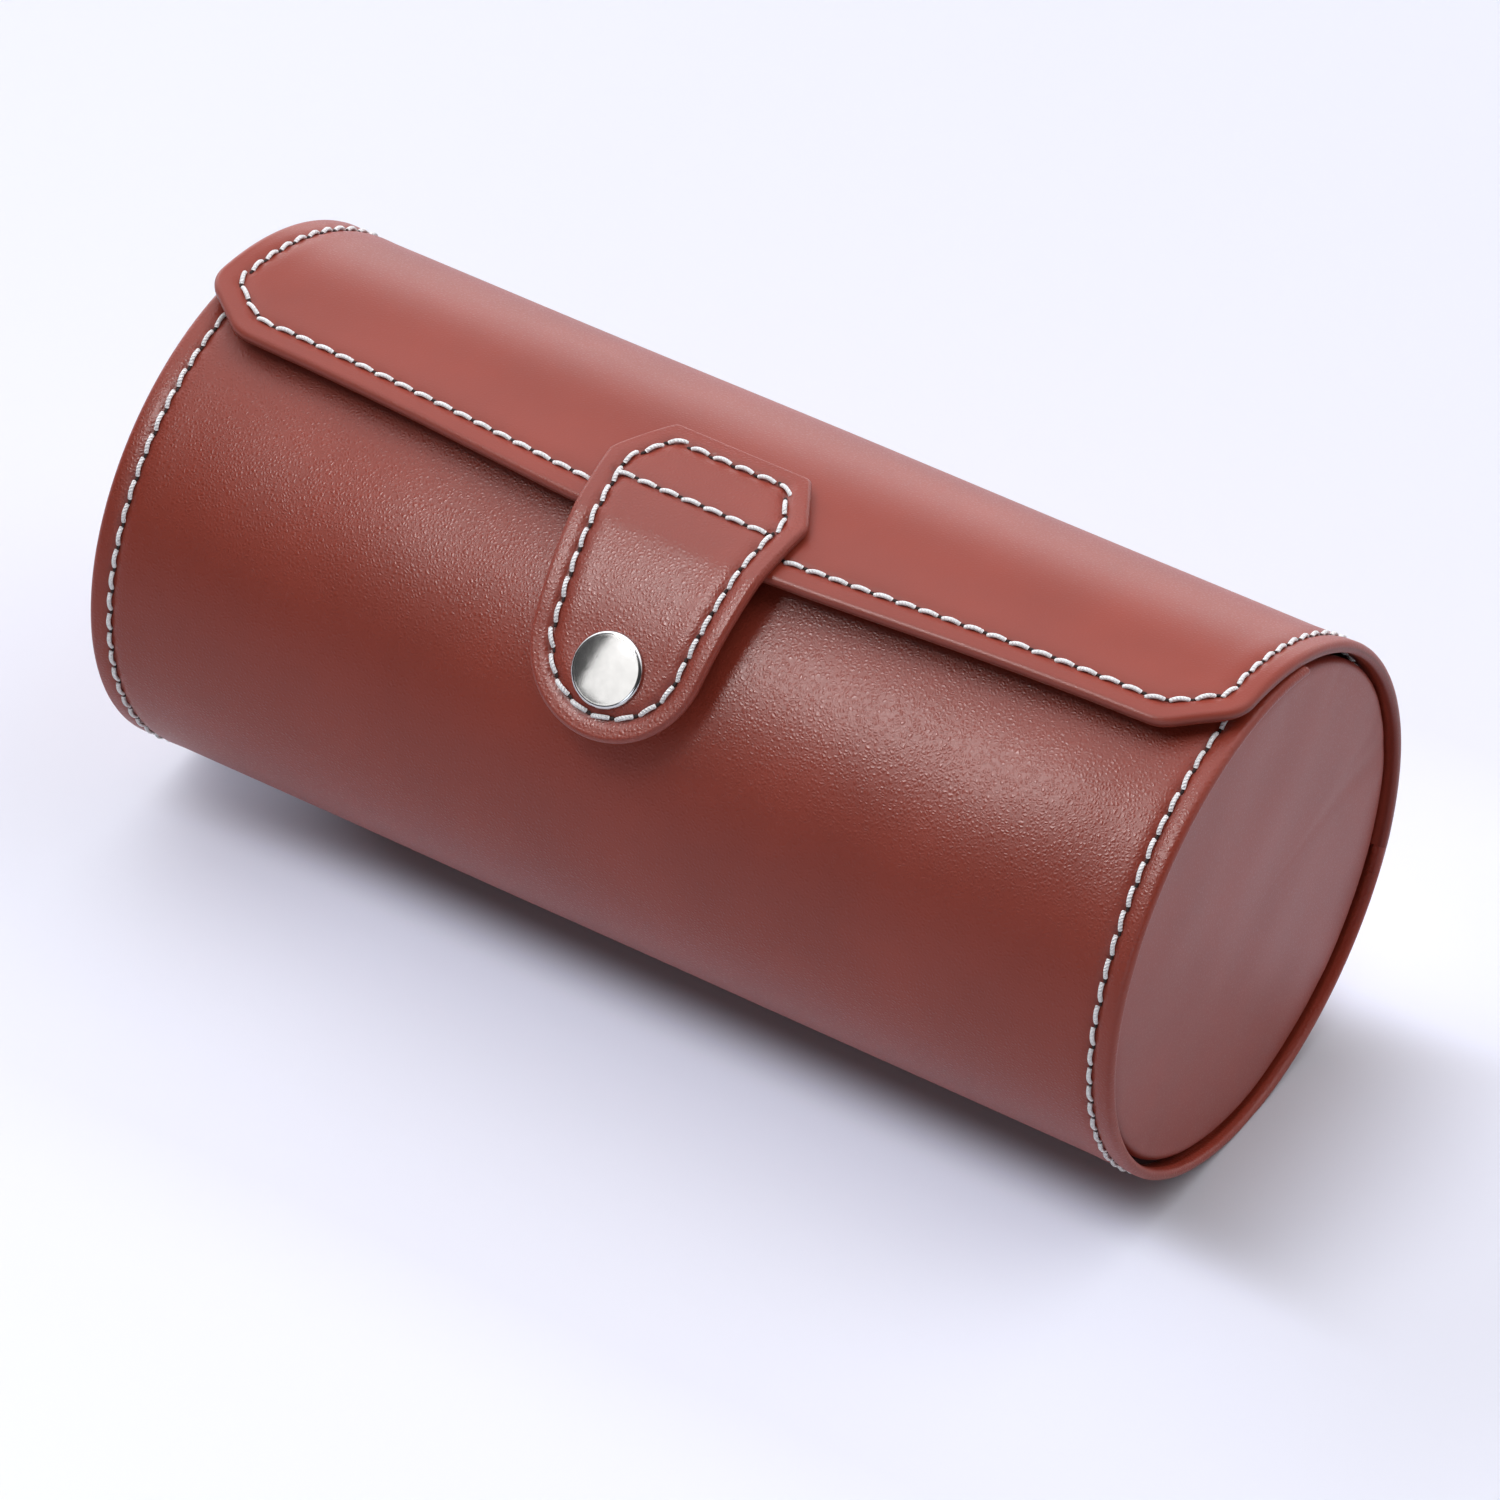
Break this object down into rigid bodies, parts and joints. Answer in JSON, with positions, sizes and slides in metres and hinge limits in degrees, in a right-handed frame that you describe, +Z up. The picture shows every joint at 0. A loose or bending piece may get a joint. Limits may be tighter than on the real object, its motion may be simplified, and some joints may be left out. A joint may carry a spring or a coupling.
{
  "type": "watch roll",
  "caption": "Round leather watch roll that lies on its side, with a curved flap, a strap tab with a snap, and removable cushions in lined bays.",
  "frame": {"origin": "middle of the flat seat under the tube, on the table", "axes": "+X along the roll to its right end, -Y to the front with the snap, +Z up"},
  "size_m": [0.2, 0.0924, 0.0971],
  "materials": {
    "leather": "satin, fine pebble grain",
    "suede": "soft, matt",
    "board": "matt",
    "foam": "matt",
    "steel": "polished"
  },
  "bodies": {
    "case": {"body_board": "board", "body_cover": "leather", "body_lining": "suede", "hinge_leather": "leather", "hinge_lining": "suede", "left_divider_board": "board", "left_divider_cover": "suede", "left_end_board": "board", "left_end_cover": "leather", "left_end_lining": "suede", "right_divider_board": "board", "right_divider_cover": "suede", "right_end_board": "board", "right_end_cover": "leather", "right_end_lining": "suede", "snap_post": "steel", "snap_stud": "steel"},
    "flap": {"flap_cover": "leather", "flap_board": "board", "flap_lining": "suede", "tab_anchor": "leather", "tab_anchor_backing": "leather"},
    "tab": {"tab_cover": "leather", "tab_backing": "leather", "snap_cap": "steel", "snap_socket": "steel"},
    "left_cushion": {"left_cushion_core": "foam", "left_cushion_ends": "suede", "left_cushion_sleeve": "suede"},
    "middle_cushion": {"middle_cushion_core": "foam", "middle_cushion_ends": "suede", "middle_cushion_sleeve": "suede"},
    "right_cushion": {"right_cushion_core": "foam", "right_cushion_ends": "suede", "right_cushion_sleeve": "suede"}
  },
  "joints": [
    {"name": "flap_hinge", "type": "hinge", "parent": "case", "child": "flap", "pos_m": [0, 0.04169, 0.02616], "axis": [-1, 0, 0], "range_deg": [0, 115], "deforming": ["hinge_leather", "hinge_lining"]},
    {"name": "tab_bend", "type": "hinge", "parent": "flap", "child": "tab", "pos_m": [0, -0.02094, 0.09446], "axis": [-1, 0, 0], "range_deg": [0, 120]},
    {"name": "left_cushion_lift", "type": "slide", "parent": "case", "child": "left_cushion", "axis": [0, 0.9081, 0.4187], "range_m": [0, 0.035]},
    {"name": "middle_cushion_lift", "type": "slide", "parent": "case", "child": "middle_cushion", "axis": [0, 0.9081, 0.4187], "range_m": [0, 0.035]},
    {"name": "right_cushion_lift", "type": "slide", "parent": "case", "child": "right_cushion", "axis": [0, 0.9081, 0.4187], "range_m": [0, 0.035]}
  ]
}
